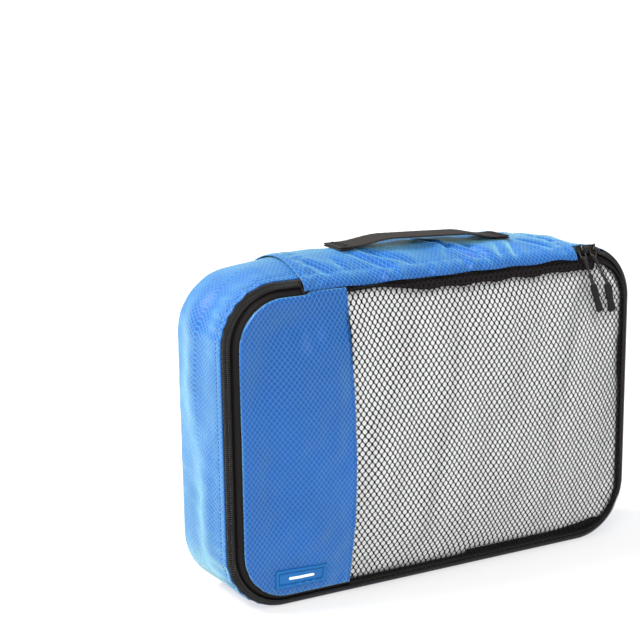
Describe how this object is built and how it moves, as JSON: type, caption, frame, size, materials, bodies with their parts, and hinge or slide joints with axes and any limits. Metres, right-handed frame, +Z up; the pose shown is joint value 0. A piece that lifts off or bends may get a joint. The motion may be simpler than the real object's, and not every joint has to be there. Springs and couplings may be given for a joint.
{
  "type": "packing cube",
  "caption": "Soft fabric packing cube standing on its edge, with a zipped lid that has a mesh window, two zipper sliders and a webbing carry handle.",
  "frame": {"origin": "middle of the bottom gusset's underside, on the surface the bag stands on", "axes": "+Z up, +X to the right as seen from the lid side, -Y towards the lid"},
  "size_m": [0.35, 0.098, 0.2504],
  "materials": {
    "ripstop": "blue diamond ripstop nylon with a soft sheen",
    "mesh": "black knitted polyester mesh with oval holes",
    "tape": "black woven polyester zipper and binding tape",
    "coil": "black nylon coil",
    "webbing": "charcoal flat webbing",
    "slider_metal": "black painted zinc",
    "grip": "moulded soft black plastic",
    "label": "light blue moulded PVC patch, blank"
  },
  "bodies": {
    "bag": {"side_gusset": "ripstop", "top_gusset": "ripstop", "back_panel": "ripstop", "rear_seam_binding": "tape", "front_seam_binding": "tape", "body_zipper_tape": "tape", "body_zipper_coil": "coil", "carry_handle": "webbing", "left_handle_bartack": "tape", "right_handle_bartack": "tape"},
    "lid": {"lid_side_panel": "ripstop", "mesh_window": "mesh", "mesh_top_hem": "mesh", "window_seam_tape": "tape", "lid_seam_binding": "tape", "lid_zipper_tape": "tape", "lid_zipper_coil": "coil", "zipper_end_stretch": "coil", "label": "label"},
    "left_slider_body": {"left_slider": "slider_metal"},
    "left_tab_body": {"left_pull_tab": "slider_metal"},
    "left_pull_body": {"left_pull_cord": "tape", "left_pull_grip": "grip"},
    "right_slider_body": {"right_slider": "slider_metal"},
    "right_tab_body": {"right_pull_tab": "slider_metal"},
    "right_pull_body": {"right_pull_cord": "tape", "right_pull_grip": "grip"}
  },
  "joints": [
    {"name": "lid_hinge", "type": "hinge", "parent": "bag", "child": "lid", "pos_m": [0, -0.0405, 0.2245], "axis": [-1, 0, 0], "range_deg": [0, 165]},
    {"name": "left_slider_travel", "type": "slide", "parent": "lid", "child": "left_slider_body", "axis": [1, 0, 0], "range_m": [0, 0.0015]},
    {"name": "left_tab_swing", "type": "hinge", "parent": "left_slider_body", "child": "left_tab_body", "pos_m": [0.1246, -0.03555, 0.23221], "axis": [-0.9659, -0.1731, -0.1924], "range_deg": [0, 90]},
    {"name": "left_pull_swing", "type": "hinge", "parent": "left_tab_body", "child": "left_pull_body", "pos_m": [0.12715, -0.04321, 0.2263], "axis": [-0.9659, -0.1731, -0.1924], "range_deg": [0, 30]},
    {"name": "right_slider_travel", "type": "hinge", "parent": "lid", "child": "right_slider_body", "pos_m": [0.131, -0.033, 0.189], "axis": [0, 1, 0], "range_deg": [0, 12]},
    {"name": "right_tab_swing", "type": "hinge", "parent": "right_slider_body", "child": "right_tab_body", "pos_m": [0.13627, -0.03555, 0.23189], "axis": [-0.9189, -0.3141, -0.2388], "range_deg": [0, 90]},
    {"name": "right_pull_swing", "type": "hinge", "parent": "right_tab_body", "child": "right_pull_body", "pos_m": [0.14021, -0.04266, 0.22606], "axis": [-0.9189, -0.3141, -0.2388], "range_deg": [0, 30]}
  ]
}
